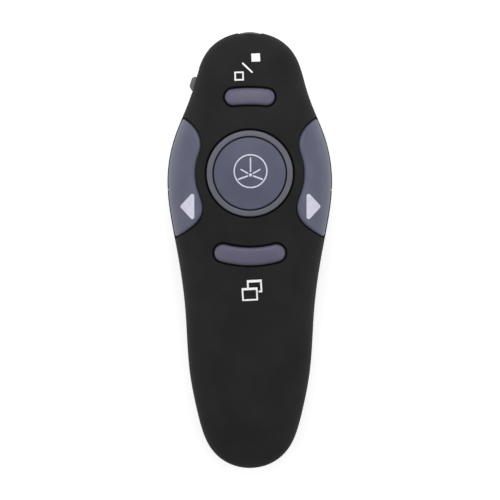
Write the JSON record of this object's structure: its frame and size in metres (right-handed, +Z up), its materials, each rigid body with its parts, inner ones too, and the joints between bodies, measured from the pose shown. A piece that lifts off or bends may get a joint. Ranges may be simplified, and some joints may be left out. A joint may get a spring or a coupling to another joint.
{
  "type": "wireless presentation clicker",
  "caption": "Hand-held wireless presentation clicker with a domed laser key, wing-shaped page keys, capsule keys, a side power slider and a pull-off battery cover.",
  "frame": {"origin": "centre of the overall bounding box in plan, on the table under the flat of the back", "axes": "X to the right, Y along the body towards the laser nose, Z up through the keys"},
  "size_m": [0.0438, 0.116, 0.0258],
  "materials": {
    "case": "soft-touch matte black",
    "wing_key": "satin grey",
    "round_key": "satin grey",
    "ring": "satin grey",
    "capsule_key": "satin grey",
    "slider": "satin grey",
    "nose_window": "polished dark red",
    "board": "solder-masked green",
    "brass": "turned",
    "lens": "polished",
    "switch_body": "moulded black",
    "plunger": "moulded red",
    "tin_plate": "tinned",
    "chip": "moulded epoxy",
    "cell": "printed sleeve",
    "spring_steel": "nickel-plated",
    "screw_steel": "zinc-plated",
    "receiver_plastic": "moulded black",
    "tongue": "moulded white"
  },
  "bodies": {
    "case": {"top_cover": "case", "bottom_cover": "case", "key_ring": "ring", "nose_window": "nose_window", "circuit_board": "board", "laser_barrel": "brass", "laser_lens": "lens", "laser_driver": "board", "previous_switch": "switch_body", "next_switch": "switch_body", "laser_switch": "switch_body", "blank_switch": "switch_body", "window_switch": "switch_body", "slide_switch": "tin_plate", "radio_chip": "chip", "controller_chip": "chip", "crystal": "tin_plate", "left_cell": "cell", "right_cell": "cell", "negative_contact": "spring_steel", "positive_contact": "spring_steel", "bridge_contact": "spring_steel", "case_screws": "screw_steel", "board_screws": "screw_steel", "receiver_cap": "receiver_plastic", "receiver_shell": "tin_plate", "receiver_tongue": "tongue"},
    "previous_key": {"previous_key": "wing_key"},
    "next_key": {"next_key": "wing_key"},
    "previous_plunger": {"previous_plunger": "plunger"},
    "next_plunger": {"next_plunger": "plunger"},
    "laser_key": {"laser_key": "round_key", "laser_plunger": "plunger"},
    "blank_key": {"blank_key": "capsule_key", "blank_plunger": "plunger"},
    "window_key": {"window_key": "capsule_key", "window_plunger": "plunger"},
    "power_slider": {"power_slider": "slider", "slide_lever": "switch_body"},
    "battery_cover": {"battery_cover": "case"}
  },
  "joints": [
    {"name": "previous_key_press", "type": "hinge", "parent": "case", "child": "previous_key", "pos_m": [-0.0133, 0.0334, 0.0166], "axis": [1, 0, 0], "range_deg": [0, 0.767], "stiffness_Nm_per_rad": 0.12, "springref_deg": -1.15},
    {"name": "next_key_press", "type": "hinge", "parent": "case", "child": "next_key", "pos_m": [0.0133, 0.0334, 0.0166], "axis": [1, 0, 0], "range_deg": [0, 0.767], "stiffness_Nm_per_rad": 0.12, "springref_deg": -1.15},
    {"name": "previous_plunger_press", "type": "slide", "parent": "case", "child": "previous_plunger", "axis": [0, 0, -1], "range_m": [0, 0.0003]},
    {"name": "next_plunger_press", "type": "slide", "parent": "case", "child": "next_plunger", "axis": [0, 0, -1], "range_m": [0, 0.0003]},
    {"name": "laser_key_press", "type": "slide", "parent": "case", "child": "laser_key", "axis": [0, 0, -1], "range_m": [0, 0.0003], "stiffness_N_per_m": 400, "springref_m": -0.0002},
    {"name": "blank_key_press", "type": "slide", "parent": "case", "child": "blank_key", "axis": [0, 0, -1], "range_m": [0, 0.0003], "stiffness_N_per_m": 400, "springref_m": -0.0002},
    {"name": "window_key_press", "type": "slide", "parent": "case", "child": "window_key", "axis": [0, 0, -1], "range_m": [0, 0.0003], "stiffness_N_per_m": 400, "springref_m": -0.0002},
    {"name": "power_slide", "type": "slide", "parent": "case", "child": "power_slider", "axis": [0.2653, 0.9642, 0], "range_m": [0, 0.002]},
    {"name": "battery_cover_slide", "type": "slide", "parent": "case", "child": "battery_cover", "axis": [0, -1, 0], "range_m": [0, 0.044]}
  ],
  "couplings": [
    {"joint": "previous_plunger_press", "follows": "previous_key_press", "m_per_rad": 0.0224},
    {"joint": "next_plunger_press", "follows": "next_key_press", "m_per_rad": 0.0224}
  ]
}
